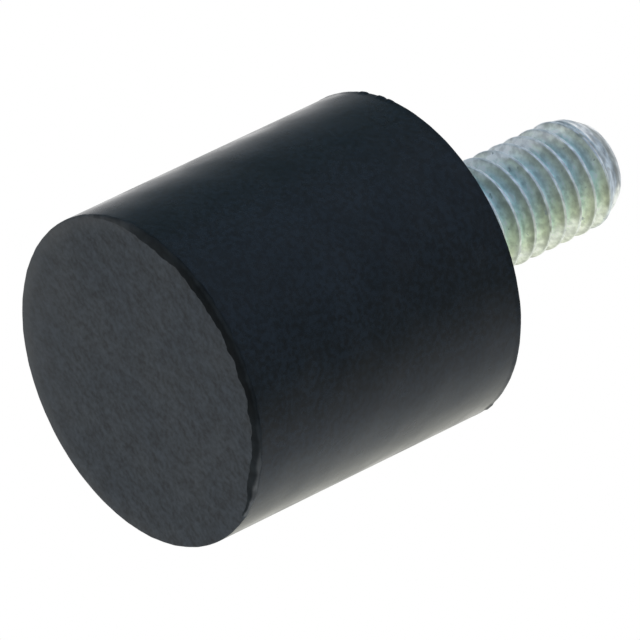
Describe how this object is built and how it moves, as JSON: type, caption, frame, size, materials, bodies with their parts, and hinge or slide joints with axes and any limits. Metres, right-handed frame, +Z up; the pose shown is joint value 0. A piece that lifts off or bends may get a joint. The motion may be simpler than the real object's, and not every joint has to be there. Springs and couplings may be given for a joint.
{
  "type": "anti-vibration foot",
  "caption": "Rubber foot: a plain rubber cylinder with a flat ground base and one threaded steel stud, to stand equipment on and damp its vibration.",
  "frame": {"origin": "centre of the ground rubber base face, on which the foot stands", "axes": "+Z up along the stud, away from the base face; X and Y lie in the base face, and the shape is round about Z"},
  "size_m": [0.0119, 0.0118, 0.0206],
  "materials": {
    "black_rubber": "satin moulded side, matt ground base",
    "zinc_plated_steel": "bright bluish zinc plating with a faint yellow tint"
  },
  "bodies": {
    "root": {"rubber_body": "black_rubber", "bonding_plate": "zinc_plated_steel", "threaded_stud": "zinc_plated_steel"}
  },
  "joints": []
}
